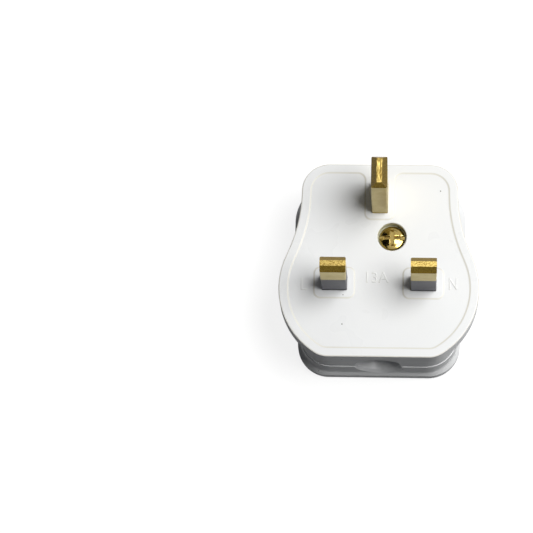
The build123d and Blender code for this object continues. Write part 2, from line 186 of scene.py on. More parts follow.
def tint(tree: Tree, factor: Socket | float, under: Socket | Colour, over: Socket | Colour) -> Socket:
    """Lays one colour over another.

    Args:
        tree: the node tree.
        factor: how much of the upper colour shows.
        under: the lower colour.
        over: the upper colour.

    Returns:
        The mixed colour's socket.
    """
    colours = [c if isinstance(c, Socket) else (*c, 1.0) for c in (under, over)]
    return mix(tree, Mix.COLOUR, factor, *colours)


def noise(
    tree: Tree, vector: Socket, scale: Socket | float, detail: float = 2.0, rough: float = 0.5
) -> Socket:
    """A smooth random value over the surface.

    Args:
        tree: the node tree.
        vector: where it is read.
        scale: waves to a metre.
        detail: how many finer layers it has.
        rough: how strong those layers are.

    Returns:
        The value's socket.
    """
    inputs = {"Vector": vector, "Scale": scale, "Detail": detail, "Roughness": rough}
    return put(tree, "ShaderNodeTexNoise", inputs).outputs[0]


def stretched(tree: Tree, vector: Socket, scale: Point) -> Socket:
    """The coordinates, drawn out or pressed together along each axis."""
    return put(tree, "ShaderNodeMapping", {"Vector": vector, "Scale": scale}).outputs[0]


def upward(tree: Tree, vector: Socket) -> Socket:
    """The upward part of a place or a normal."""
    return put(tree, "ShaderNodeSeparateXYZ", {0: vector}).outputs[2]


def band(tree: Tree, height: Socket, rise: Span, fall: Span) -> Socket:
    """A mask that is 1 in a band of heights.

    Args:
        tree: the node tree.
        height: the height that is tested.
        rise: where the mask starts to grow, and where it reaches 1.
        fall: where it is back at 0, and where it starts to sink.

    Returns:
        The mask's socket.
    """
    return times(tree, spread(tree, height, *rise), spread(tree, height, *fall))


def empty_tree(owner: bpy.types.Material | bpy.types.World) -> Tree:
    """Turns nodes on and clears them away.

    Args:
        owner: the material or world.

    Returns:
        Its empty node tree.
    """
    owner.use_nodes = True
    owner.node_tree.nodes.clear()
    return owner.node_tree


# Effects that more than one finish uses


def new_group(
    name: str, inputs: dict[str, tuple[str, float]], outputs: dict[str, str]
) -> tuple[Tree, dict[str, Socket], dict[str, Socket]]:
    """Starts a shader group with named sockets.

    Args:
        name: the group's name.
        inputs: each input's kind and value, by name.
        outputs: each output's kind, by name.

    Returns:
        The tree, its input sockets by name, and its output node's sockets by name.
    """
    tree = bpy.data.node_groups.new(name, "ShaderNodeTree")
    for label, (kind, value) in inputs.items():
        socket = tree.interface.new_socket(label, in_out="INPUT", socket_type="NodeSocket" + kind)
        if kind == "Float":
            socket.default_value = value
    for label, kind in outputs.items():
        tree.interface.new_socket(label, in_out="OUTPUT", socket_type="NodeSocket" + kind)
    ins = tree.nodes.new("NodeGroupInput").outputs
    outs = tree.nodes.new("NodeGroupOutput").inputs
    return tree, {label: ins[label] for label in inputs}, {label: outs[label] for label in outputs}


def build_moulded_skin() -> Tree:
    """The skin of a moulded part: faint clouds, fine grain and stray dirt specks.

    Returns:
        The group's tree.
    """
    wave_scale, wave_height = 130.0, 3.0
    cell_scale, speck_size, speck_blur = 330.0, 0.16, 0.02
    cloud_scale = 55.0
    tree, ins, outs = new_group(
        "moulded_skin",
        {"Vector": ("Vector", 0), "Grain": ("Float", 2600.0), "Specks": ("Float", 0.5)},
        {"Cloud": "Float", "Speck": "Float", "Height": "Float"},
    )
    place = ins["Vector"]
    grain = noise(tree, place, ins["Grain"], detail=3.0)
    waves = noise(tree, place, wave_scale, detail=1.0)
    height = maths(tree, "MULTIPLY_ADD", waves, wave_height, grain)
    cells = put(tree, "ShaderNodeTexVoronoi", {"Vector": place, "Scale": cell_scale, "Randomness": 1.0})
    chance = put(tree, "ShaderNodeSeparateColor", {0: cells.outputs["Color"]}).outputs[0]
    size = times(tree, maths(tree, "SUBTRACT", ins["Specks"], chance, clamp=True), speck_size)
    inside = maths(tree, "SUBTRACT", size, cells.outputs["Distance"])
    tree.links.new(spread(tree, inside, 0.0, speck_blur), outs["Speck"])
    tree.links.new(noise(tree, place, cloud_scale, detail=3.0, rough=0.6), outs["Cloud"])
    tree.links.new(height, outs["Height"])
    return tree


def build_drawn_metal() -> Tree:
    """Drawn or machined metal: streaks along one axis, pits and blotches of tarnish.

    Returns:
        The group's tree.
    """
    drawn_out = (1.0, 1.0, 0.06)
    streak_range = (0.32, 0.68)
    blotch_scale = 420.0
    tree, ins, outs = new_group(
        "drawn_metal",
        {"Vector": ("Vector", 0), "Streaks": ("Float", 3200.0), "Pits": ("Float", 2400.0)},
        {"Streak": "Float", "Blotch": "Float", "Height": "Float"},
    )
    place = ins["Vector"]
    streak = noise(tree, stretched(tree, place, drawn_out), ins["Streaks"], detail=3.0)
    pit = noise(tree, place, ins["Pits"], detail=4.0)
    tree.links.new(spread(tree, streak, *streak_range), outs["Streak"])
    tree.links.new(noise(tree, place, blotch_scale, detail=3.0, rough=0.6), outs["Blotch"])
    tree.links.new(maths(tree, "ADD", streak, pit), outs["Height"])
    return tree


def build_worn_edge() -> Tree:
    """A mask that is 1 on outer and inner corners, with the normal rounded over them.

    Returns:
        The group's tree.
    """
    edge_range = (0.985, 0.8)
    tree, ins, outs = new_group(
        "worn_edge", {"Radius": ("Float", 0.15 * MM)}, {"Edge": "Float", "Normal": "Vector"}
    )
    rounded = put(tree, "ShaderNodeBevel", {"Radius": ins["Radius"]}, samples=6).outputs[0]
    facing = put(tree, "ShaderNodeNewGeometry").outputs["Normal"]
    same = vector_maths(tree, "DOT_PRODUCT", rounded, facing).outputs["Value"]
    tree.links.new(spread(tree, same, *edge_range), outs["Edge"])
    tree.links.new(rounded, outs["Normal"])
    return tree


GROUP_BUILDERS: dict[str, Callable[[], Tree]] = {
    "moulded_skin": build_moulded_skin,
    "drawn_metal": build_drawn_metal,
    "worn_edge": build_worn_edge,
}


def effect(tree: Tree, name: str, **inputs) -> bpy.types.Node:
    """Places a shared effect in a material, and builds its group the first time.

    Args:
        tree: the material's node tree.
        name: the effect's name.
        inputs: values or sockets for its inputs.

    Returns:
        The group's node.
    """
    group = bpy.data.node_groups.get(name) or GROUP_BUILDERS[name]()
    node = tree.nodes.new("ShaderNodeGroup")
    node.node_tree = group
    for label, value in inputs.items():
        if isinstance(value, Socket):
            tree.links.new(value, node.inputs[label])
        else:
            node.inputs[label].default_value = value
    return node


@dataclass
class Surface:
    """A material under construction: its tree, shader and object coordinates."""

    name: str
    material: bpy.types.Material = field(init=False)
    tree: Tree = field(init=False)
    shader: bpy.types.Node = field(init=False)
    place: Socket = field(init=False)

    def __post_init__(self) -> None:
        """Makes the material with an empty Principled shader."""
        self.material = bpy.data.materials.new(self.name)
        self.tree = empty_tree(self.material)
        self.shader = self.tree.nodes.new("ShaderNodeBsdfPrincipled")
        put(self.tree, "ShaderNodeOutputMaterial", {"Surface": self.shader.outputs[0]})
        self.place = put(self.tree, "ShaderNodeTexCoord").outputs["Object"]

    def height(self) -> Socket:
        """How high a point of the surface lies, in metres."""
        return upward(self.tree, self.place)

    def lean(self) -> Socket:
        """How far the surface faces up: 1 where it is level, 0 on a wall."""
        return upward(self.tree, put(self.tree, "ShaderNodeNewGeometry").outputs["Normal"])

    def fix(self, **values: float) -> None:
        """Sets shader inputs that are the same all over; spaces are written as underscores."""
        for label, value in values.items():
            self.shader.inputs[label.replace("_", " ")].default_value = value

    def feed(self, label: str, source: Socket) -> None:
        """Leads a socket into one of the shader's inputs."""
        self.tree.links.new(source, self.shader.inputs[label])

    def bump(self, height: Socket, depth: float, strength: float, normal: Socket) -> None:
        """Raises the surface by a height map.

        Args:
            height: the map.
            depth: metres for a height of 1.
            strength: how much of it shows.
            normal: the normal that it starts from.
        """
        inputs = {"Height": height, "Distance": depth, "Strength": strength, "Normal": normal}
        self.feed("Normal", put(self.tree, "ShaderNodeBump", inputs).outputs[0])


# Painted shade in one place


@dataclass(frozen=True)
class FootShade:
    """Painted shade: the dark line round a pin or a sleeve, where it stands out of the face."""

    colour: Colour
    bottom: float = 19.7 * MM
    top: float = 20.3 * MM
    rise: float = 0.05 * MM
    fade: float = 0.25 * MM

    def lay(self, surface: Surface, under: Socket) -> Socket:
        """Lays the painted shade over a colour.

        Args:
            surface: the material that it is part of.
            under: the colour without the shade.

        Returns:
            The colour with the painted shade.
        """
        rise = (self.bottom - self.rise, self.bottom)
        fall = (self.top + self.fade, self.top)
        # A band of painted shade just above the face, where the pin or sleeve stands out of it.
        return tint(surface.tree, band(surface.tree, surface.height(), rise, fall), under, self.colour)


@dataclass(frozen=True)
class HoleShadeAndReflection:
    """Painted shade and a brass-tinted painted reflection on the walls of the sunk hole round the cover
    screw.
    """

    centre: Point
    radius: float
    top: float
    colour: Colour = (0.66, 0.65, 0.46)
    share: float = 0.8
    blur: float = 0.03 * MM
    fade: float = 0.2 * MM

    def lay(self, surface: Surface, under: Socket) -> Socket:
        """Lays the painted shade and reflection over a colour.

        Args:
            surface: the material that it is part of.
            under: the colour without them.

        Returns:
            The colour with the painted shade and reflection.
        """
        tree = surface.tree
        aside = vector_maths(tree, "SUBTRACT", surface.place, self.centre).outputs[0]
        level_only = vector_maths(tree, "MULTIPLY", aside, LEVEL).outputs[0]
        away = vector_maths(tree, "LENGTH", level_only).outputs["Value"]
        near = spread(tree, away, self.radius + self.blur, self.radius - self.blur)
        sunk = spread(tree, surface.height(), self.top, self.top - self.fade)
        # Painted shade and brass-tinted painted reflection on the walls of the hole.
        return tint(tree, times(tree, times(tree, near, sunk), self.share), under, self.colour)


# Finishes


@dataclass(frozen=True)
class MouldedPlastic:
    """Glossy moulded plastic: dirt and painted shade on its panel's step, painted shade and reflection in
    its screw hole, dull walls, specks.
    """

    name: str
    colour: Colour
    warm: Colour
    step_dirt_and_shade: Colour
    step: Span
    hole: HoleShadeAndReflection
    warm_share: float = 0.45
    speck: Colour = (0.10, 0.085, 0.07)
    specks: float = 0.42
    cloud_range: Span = (0.25, 0.75)
    rough: Span = (0.26, 0.35)
    wall_dulling: float = 0.25
    wall_lean: Span = (0.97, 0.6)
    specular: float = 0.4
    wall_specular: float = 0.05
    step_dirt_and_shade_share: float = 0.5
    step_blur: float = 0.02 * MM
    step_lean: Span = (0.985, 0.93)
    step_softness: float = 0.6
    edge_radius: float = 0.12 * MM
    relief: float = 0.35
    relief_depth: float = 0.01 * MM

    def material(self) -> bpy.types.Material:
        """Builds the material.

        Returns:
            The material.
        """
        surface = Surface(self.name)
        tree = surface.tree
        skin = effect(tree, "moulded_skin", Vector=surface.place, Specks=self.specks)
        corner = effect(tree, "worn_edge", Radius=self.edge_radius)
        colour = tint(tree, times(tree, skin.outputs["Cloud"], self.warm_share), self.colour, self.warm)
        low, high = self.step
        rise = (low - self.step_blur, low + self.step_blur)
        fall = (high + self.step_blur, high - self.step_blur)
        lean = surface.lean()
        slope = times(tree, band(tree, surface.height(), rise, fall), spread(tree, lean, *self.step_lean))
        # Painted shade on the step's slopes, partly dirt, that tones down their glint.
        colour = tint(tree, times(tree, slope, self.step_dirt_and_shade_share), colour, self.step_dirt_and_shade)
        # Painted shade and reflection in the screw hole.
        colour = self.hole.lay(surface, colour)
        surface.feed("Base Color", tint(tree, skin.outputs["Speck"], colour, self.speck))
        wall = spread(tree, lean, *self.wall_lean)
        gloss = spread(tree, skin.outputs["Cloud"], *self.cloud_range, *self.rough)
        surface.feed("Roughness", maths(tree, "ADD", gloss, times(tree, wall, self.wall_dulling)))
        surface.feed("Specular IOR Level", spread(tree, wall, 0.0, 1.0, self.specular, self.wall_specular))
        soft = times(tree, slope, self.step_softness)
        normal = mix(tree, Mix.VECTOR, soft, corner.outputs["Normal"], UP)
        surface.bump(skin.outputs["Height"], self.relief_depth, self.relief, normal)
        return surface.material


@dataclass(frozen=True)
class PinBrass:
    """Solid brass of the pins: satin sides, dark bevels and bright grainy tips, the last two partly painted
    shade and reflection, and worn corners.
    """

    name: str
    side: Colour
    side_dark: Colour
    bevel: Colour
    bevel_dark_tone_and_shade: Colour
    tip_tone_and_reflection: Colour
    tip_dark: Colour
    worn: Colour
    foot: FootShade
    side_share: float = 0.9
    worn_share: float = 0.6
    formed_above: float = 30.0 * MM
    formed_fade: float = 1.0 * MM
    bevel_lean: Span = (0.15, 0.35)
    tip_lean: Span = (0.90, 0.985)
    tip_stretch: Point = (1.0, 1.0, 1.0)
    tip_grain: float = 2600.0
    tip_range: Span = (0.40, 0.62)
    side_rough: float = 0.34
    tip_rough: float = 0.24
    blotch_rough: float = 0.2
    edge_radius: float = 0.12 * MM
    relief: float = 0.55
    relief_depth: float = 0.03 * MM

    def material(self) -> bpy.types.Material:
        """Builds the material.

        Returns:
            The material.
        """
        surface = Surface(self.name)
        tree = surface.tree
        metal = effect(tree, "drawn_metal", Vector=surface.place)
        corner = effect(tree, "worn_edge", Radius=self.edge_radius)
        blotch = metal.outputs["Blotch"]
        lean = surface.lean()
        formed = spread(tree, surface.height(), self.formed_above, self.formed_above + self.formed_fade)
        # Bevels and tips get their own colours by which way they face: partly tone, partly painted shade on
        # the bevels and painted reflection on the tips.
        on_bevel = times(tree, formed, spread(tree, lean, *self.bevel_lean))
        on_tip = times(tree, formed, spread(tree, lean, *self.tip_lean))
        side = tint(tree, times(tree, blotch, self.side_share), self.side, self.side_dark)
        bevel = tint(tree, metal.outputs["Streak"], self.bevel, self.bevel_dark_tone_and_shade)
        grained = stretched(tree, surface.place, self.tip_stretch)
        speckle = noise(tree, grained, self.tip_grain, detail=3.0, rough=0.6)
        tip_tone_and_reflection = tint(tree, spread(tree, speckle, *self.tip_range), self.tip_tone_and_reflection, self.tip_dark)
        # Painted shade round the foot of the pin.
        side = self.foot.lay(surface, side)
        colour = tint(tree, on_tip, tint(tree, on_bevel, side, bevel), tip_tone_and_reflection)
        colour = tint(tree, times(tree, corner.outputs["Edge"], self.worn_share), colour, self.worn)
        surface.feed("Base Color", colour)
        rough = spread(tree, on_tip, 0.0, 1.0, self.side_rough, self.tip_rough)
        surface.feed("Roughness", maths(tree, "MULTIPLY_ADD", blotch, self.blotch_rough, rough))
        surface.fix(Metallic=1.0)
        surface.bump(metal.outputs["Height"], self.relief_depth, self.relief, corner.outputs["Normal"])
        return surface.material


@dataclass(frozen=True)
class PlainMetal:
    """A small turned or pressed metal piece, with fine tool marks and some tarnish."""

    name: str
    colour: Colour
    tarnish: Colour
    tarnish_share: float = 0.6
    tarnish_range: Span = (0.35, 0.75)
    worn_share: float = 0.4
    rough: float = 0.2
    blotch_rough: float = 0.16
    blotch_range: Span = (0.3, 0.8)
    coat: float = 0.0
    coat_rough: float = 0.04
    streaks: float = 3200.0
    edge_radius: float = 0.08 * MM
    relief: float = 0.3
    relief_depth: float = 0.01 * MM

    def material(self) -> bpy.types.Material:
        """Builds the material.

        Returns:
            The material.
        """
        surface = Surface(self.name)
        tree = surface.tree
        metal = effect(tree, "drawn_metal", Vector=surface.place, Streaks=self.streaks)
        corner = effect(tree, "worn_edge", Radius=self.edge_radius)
        blotch = metal.outputs["Blotch"]
        dull = times(tree, spread(tree, blotch, *self.tarnish_range), self.tarnish_share)
        colour = tint(tree, dull, self.colour, self.tarnish)
        worn = times(tree, corner.outputs["Edge"], self.worn_share)
        surface.feed("Base Color", tint(tree, worn, colour, self.colour))
        most_rough = self.rough + self.blotch_rough
        surface.feed("Roughness", spread(tree, blotch, *self.blotch_range, self.rough, most_rough))
        surface.fix(Metallic=1.0, Coat_Weight=self.coat, Coat_Roughness=self.coat_rough)
        surface.bump(metal.outputs["Height"], self.relief_depth, self.relief, corner.outputs["Normal"])
        return surface.material


@dataclass(frozen=True)
class DullSolid:
    """Matt plastic, fibre or ceramic with a fine grain."""

    name: str
    colour: Colour
    deep: Colour
    cloud_range: Span = (0.3, 0.7)
    worn: float = 0.25
    worn_gain: float = 1.5
    worn_lift: float = 0.02
    foot: FootShade | None = None
    rough: float = 0.5
    cloud_rough: float = 0.12
    rough_range: Span = (0.2, 0.8)
    grain: float = 2600.0
    edge_radius: float = 0.1 * MM
    relief: float = 0.4
    relief_depth: float = 0.02 * MM

    def material(self) -> bpy.types.Material:
        """Builds the material.

        Returns:
            The material.
        """
        surface = Surface(self.name)
        tree = surface.tree
        skin = effect(tree, "moulded_skin", Vector=surface.place, Grain=self.grain, Specks=0.0)
        corner = effect(tree, "worn_edge", Radius=self.edge_radius)
        cloud = skin.outputs["Cloud"]
        colour = tint(tree, spread(tree, cloud, *self.cloud_range), self.colour, self.deep)
        lifted = tuple(min(1.0, self.worn_gain * c + self.worn_lift) for c in self.colour)
        colour = tint(tree, times(tree, corner.outputs["Edge"], self.worn), colour, lifted)
        # Painted shade round the foot, where one is given.
        if self.foot is not None:
            colour = self.foot.lay(surface, colour)
        surface.feed("Base Color", colour)
        most_rough = self.rough + self.cloud_rough
        surface.feed("Roughness", spread(tree, cloud, *self.rough_range, self.rough, most_rough))
        surface.bump(skin.outputs["Height"], self.relief_depth, self.relief, corner.outputs["Normal"])
        return surface.material


# Meshes


def dress(piece: bpy.types.Object, material: bpy.types.Material) -> None:
    """Gives a piece one material."""
    piece.data.materials.clear()
    piece.data.materials.append(material)


def report(piece: bpy.types.Object) -> None:
    """Writes a line about a finished piece."""
    log.info("%s: %d faces, %s", piece.name, len(piece.data.polygons), piece.data.materials[0].name)


def finish_mesh(bm: bmesh.types.BMesh, name: str, shading: Shading) -> bpy.types.Object:
    """Turns a bmesh into a smooth-shaded object at the origin.

    Args:
        bm: the mesh, which is used up.
        name: the object's name.
        shading: how its edges are shaded.

    Returns:
        The object.
    """
    mesh = bpy.data.meshes.new(name)
    for face in bm.faces:
        face.smooth = True
    bm.to_mesh(mesh)
    bm.free()
    mesh.set_sharp_from_angle(angle=math.radians(shading.value))
    piece = bpy.data.objects.new(name, mesh)
    bpy.context.scene.collection.objects.link(piece)
    return piece


def dress_nodes(nodes: tuple[str, ...], material: bpy.types.Material) -> None:
    """Gives CAD nodes their finish.

    Args:
        nodes: the nodes' names.
        material: the finish that they share.
    """
    for node in nodes:
        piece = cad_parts[node]
        dress(piece, material)
        report(piece)


def limited(value: float) -> float:
    """The value, kept between 0 and 1."""
    return min(1.0, max(0.0, value))


@dataclass(frozen=True)
class ThreadedScrew:
    """Stands for a CAD screw: the same head, on a shank with a real helical thread.

    The profile gives points along one pitch, each with its place as a share of the pitch, and 0 for the
    crest or 1 for the root.
    """

    node: str
    slot: str
    seat: float
    into: int
    radius: float
    neck: float
    pitch: float
    cut: Cut
    point: float = 0.5 * MM
    point_radius: float = 1.2 * MM
    sides: int = 40
    spare_turns: int = 3
    merge: float = 0.0001 * MM
    sliver: float = 0.00001 * MM
    slack: float = 0.01 * MM
    profile: tuple[Span, ...] = ((0.0, 0.0), (0.125, 0.0), (0.4375, 1.0), (0.6875, 1.0))

    def shank_radius(self, along: float, low: float, length: float) -> float:
        """The thread's radius at one point.

        Args:
            along: metres from the head.
            low: 0 on the crest and 1 at the root.
            length: the shank's length.

        Returns:
            The radius in metres.
        """
        grown = limited((along - self.neck) / self.pitch)
        radius = self.radius - low * grown * self.cut.value * self.pitch
        tapered = limited((along - length + self.point) / self.point)
        return min(radius, self.radius - tapered * (self.radius - self.point_radius))

    def add_thread(self, bm: bmesh.types.BMesh, centre: Vector, length: float) -> None:
        """Adds the thread's helical surface, open at both ends.

        Args:
            bm: the mesh that it goes into.
            centre: the middle of the seat under the head.
            length: the shank's length.
        """
        turns = math.ceil((length - self.neck) / self.pitch) + self.spare_turns
        steps = [(turn - 1 + share, low) for turn in range(turns) for share, low in self.profile]
        columns = []
        for side in range(self.sides):
            angle = self.into * math.tau * side / self.sides
            column = []
            for step, low in steps:
                along = self.neck + self.pitch * (step + side / self.sides)
                along = min(length, max(self.neck, along))
                radius = self.shank_radius(along, low, length)
                offset = Vector((radius * math.cos(angle), radius * math.sin(angle), self.into * along))
                column.append(bm.verts.new(centre + offset))
            columns.append(column)
        for side, column in enumerate(columns):
            last = side + 1 == self.sides
            following = columns[0][len(self.profile):] if last else columns[side + 1]
            for a, b, c, d in zip(column, following, following[1:], column[1:]):
                bm.faces.new((a, b, c, d))

    def remove_shank(self, bm: bmesh.types.BMesh, centre: Vector) -> None:
        """Takes the plain shank off a copy of the solid.

        Args:
            bm: the copy.
            centre: the middle of the seat under the head.
        """
        on_shank = set()
        for vert in bm.verts:
            offset = vert.co - centre
            if offset.z * self.into > -self.slack and offset.xy.length < self.radius + self.slack:
                on_shank.add(vert)
        shank = [face for face in bm.faces if on_shank.issuperset(face.verts)]
        bmesh.ops.delete(bm, geom=shank, context="FACES")

    def close(self, bm: bmesh.types.BMesh, centre: Vector, length: float) -> None:
        """Closes the shank's foot and joins its top to the head.

        Args:
            bm: the mesh with the head and the thread.
            centre: the middle of the seat under the head.
            length: the shank's length.
        """
        bmesh.ops.remove_doubles(bm, verts=bm.verts, dist=self.merge)
        bmesh.ops.dissolve_degenerate(bm, edges=bm.edges, dist=self.sliver)
        rims = [edge for edge in bm.edges if edge.is_boundary]
        foot = [edge for edge in rims if abs((edge.verts[0].co - centre).z) > length - self.slack]
        bmesh.ops.holes_fill(bm, edges=foot, sides=0)
        bmesh.ops.bridge_loops(bm, edges=[edge for edge in rims if edge not in foot])
        bmesh.ops.recalc_face_normals(bm, faces=bm.faces)

    def build(self, material: bpy.types.Material) -> None:
        """Makes the screw and lets it stand for its node.

        Args:
            material: its finish.
        """
        low, high = (Vector(corner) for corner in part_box(self.node))
        centre = Vector(((low.x + high.x) / 2, (low.y + high.y) / 2, self.seat))
        length = high.z - self.seat if self.into > 0 else self.seat - low.z
        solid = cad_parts[self.node]
        bm = bmesh.new()
        bm.from_mesh(solid.data)
        bm.transform(solid.matrix_world)
        bmesh.ops.remove_doubles(bm, verts=bm.verts, dist=self.merge)
        self.remove_shank(bm, centre)
        self.add_thread(bm, centre, length)
        self.close(bm, centre, length)
        open_edges = sum(1 for edge in bm.edges if not edge.is_manifold)
        piece = finish_mesh(bm, self.node + "_threaded", Shading.CRISP)
        dress(piece, material)
        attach(piece, BODY)
        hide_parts(self.node)
        report(piece)
        if open_edges:
            log.warning("%s has %d open edges", piece.name, open_edges)


@dataclass(frozen=True)
class RaisedMark:
    """A plain letter or number in low relief on the sunk panel."""

    text: str
    name: str
    centre: Span
    width: float
    height: float
    panel: float = 19.65 * MM
    relief: float = 0.1 * MM
    foot: float = 0.05 * MM
    curve_steps: int = 4
    merge: float = 0.0001
    crisp_angle: float = 1.0
    soft_edge: float = 0.04 * MM

    def outline_mesh(self) -> bmesh.types.BMesh:
        """Makes the characters as a solid of any size, from the plain built-in font.

        Returns:
            Their mesh.
        """
        outline = bpy.data.curves.new(self.name, "FONT")
        outline.body = self.text
        outline.extrude = 1.0
        outline.resolution_u = self.curve_steps
        helper = bpy.data.objects.new(self.name + "_outline", outline)
        bpy.context.scene.collection.objects.link(helper)
        flat = bpy.data.meshes.new_from_object(helper)
        bpy.data.objects.remove(helper)
        bm = bmesh.new()
        bm.from_mesh(flat)
        bmesh.ops.remove_doubles(bm, verts=bm.verts, dist=self.merge)
        return bm

    def build(self, material: bpy.types.Material) -> None:
        """Makes the mark and sets it on the panel.

        Args:
            material: its finish.
        """
        bm = self.outline_mesh()
        spans = [[getattr(vert.co, axis) for vert in bm.verts] for axis in "xyz"]
        sizes = (self.width, self.height, self.relief + self.foot)
        corner = (
            self.centre[0] - self.width / 2,
            self.centre[1] - self.height / 2,
            self.panel - self.foot,
        )
        for vert in bm.verts:
            vert.co = Vector(
                start + size * (place - min(span)) / (max(span) - min(span))
                for start, size, place, span in zip(corner, sizes, vert.co, spans)
            )
        rim = [
            edge
            for edge in bm.edges
            if all(vert.co.z > self.panel for vert in edge.verts)
            and edge.is_manifold
            and edge.calc_face_angle() > self.crisp_angle
        ]
        bmesh.ops.bevel(
            bm, geom=rim, offset=self.soft_edge, segments=2, profile=0.5, affect="EDGES", material=-1
        )
        bmesh.ops.recalc_face_normals(bm, faces=bm.faces)
        piece = finish_mesh(bm, self.name, Shading.SOFT)
        dress(piece, material)
        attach(piece, BODY)
        report(piece)


# The plug's sub-assemblies


@dataclass
class Housing:
    """The moulded base and the deep back cover."""

    plastic: MouldedPlastic = MouldedPlastic(
        name="white_housing_plastic",
        colour=(0.845, 0.855, 0.870),
        warm=(0.800, 0.800, 0.795),
        # Dirt and painted shade on the panel's step.
        step_dirt_and_shade=(0.62, 0.575, 0.45),
        step=(19.62 * MM, 19.8 * MM),
        # Painted shade and reflection in the sunk screw hole.
        hole=HoleShadeAndReflection(centre=(3.15 * MM, 12.05 * MM, 0.0), radius=3.7 * MM, top=19.62 * MM),
    )
    nodes: tuple[str, ...] = ("pin_base", "rear_cover")
    marks: tuple[RaisedMark, ...] = (
        RaisedMark("L", "mark_live", (-18.75 * MM, -0.45 * MM), 1.4 * MM, 3.1 * MM),
        RaisedMark("N", "mark_neutral", (18.5 * MM, 0.0 * MM), 2.0 * MM, 3.1 * MM),
        RaisedMark("13A", "mark_rating", (-0.35 * MM, 1.45 * MM), 5.6 * MM, 2.75 * MM),
    )

    def build(self) -> None:
        """Dresses both mouldings and adds the plain marks."""
        material = self.plastic.material()
        dress_nodes(self.nodes, material)
        for mark in self.marks:
            mark.build(material)


@dataclass
class Pins:
    """The three brass pins and the sleeves on two of them."""

    brass: PinBrass = PinBrass(
        name="aged_pin_brass",
        side=(0.54, 0.455, 0.225),
        side_dark=(0.37, 0.300, 0.125),
        # The bevel colours are partly painted shade and the tip colours partly painted reflection.
        bevel=(0.176, 0.120, 0.021),
        bevel_dark_tone_and_shade=(0.100, 0.064, 0.010),
        tip_tone_and_reflection=(0.54, 0.405, 0.13),
        tip_dark=(0.20, 0.130, 0.03),
        worn=(0.62, 0.48, 0.20),
        # Painted shade round the pins' feet.
        foot=FootShade((0.42, 0.32, 0.09)),
        tip_stretch=(1.2, 1.7, 1.0),
    )
    sleeve: DullSolid = DullSolid(
        name="grey_sleeve",
        colour=(0.102, 0.102, 0.120),
        deep=(0.078, 0.078, 0.095),
        rough=0.42,
        # Painted shade round the sleeves' feet.
        foot=FootShade((0.012, 0.012, 0.018), top=20.45 * MM),
    )
    # The earth tip's brighter colour is partly tone and partly painted reflection.
    earth_tip_tone_and_reflection: Colour = (0.76, 0.58, 0.19)
    earth_stretch: Point = (1.0, 0.2, 1.0)

    def build(self) -> None:
        """Dresses the pins and sleeves."""
        earth = replace(
            self.brass, name="aged_earth_brass", tip_tone_and_reflection=self.earth_tip_tone_and_reflection, tip_stretch=self.earth_stretch
        )
        dress_nodes(("earth_pin",), earth.material())
        dress_nodes(("neutral_pin", "live_pin"), self.brass.material())
        dress_nodes(("neutral_sleeve", "live_sleeve"), self.sleeve.material())


@dataclass
class CoverScrew:
    """The screw that holds the halves together, with its washer and nut."""

    brass: PlainMetal = PlainMetal(
        name="polished_screw_brass",
        colour=(0.44, 0.32, 0.09),
        tarnish=(0.17, 0.12, 0.035),
        rough=0.07,
        relief=0.15,
        coat=0.5,
    )
    fibre: DullSolid = DullSolid(
        name="red_fibre", colour=(0.30, 0.075, 0.045), deep=(0.20, 0.05, 0.03), rough=0.6
    )
    screw: ThreadedScrew = ThreadedScrew(
        "cover_screw",
        "screw_brass",
        seat=17.1 * MM,
        into=-1,
        radius=1.75 * MM,
        neck=4.6 * MM,
        pitch=0.6 * MM,
        cut=Cut.MACHINE,
        point_radius=1.35 * MM,
    )

    def build(self) -> None:
        """Makes the screw, and dresses its washer and its nut."""
        brass = self.brass.material()
        self.screw.build(brass)
        dress_nodes(("cover_nut",), brass)
        dress_nodes(("screw_keeper",), self.fibre.material())


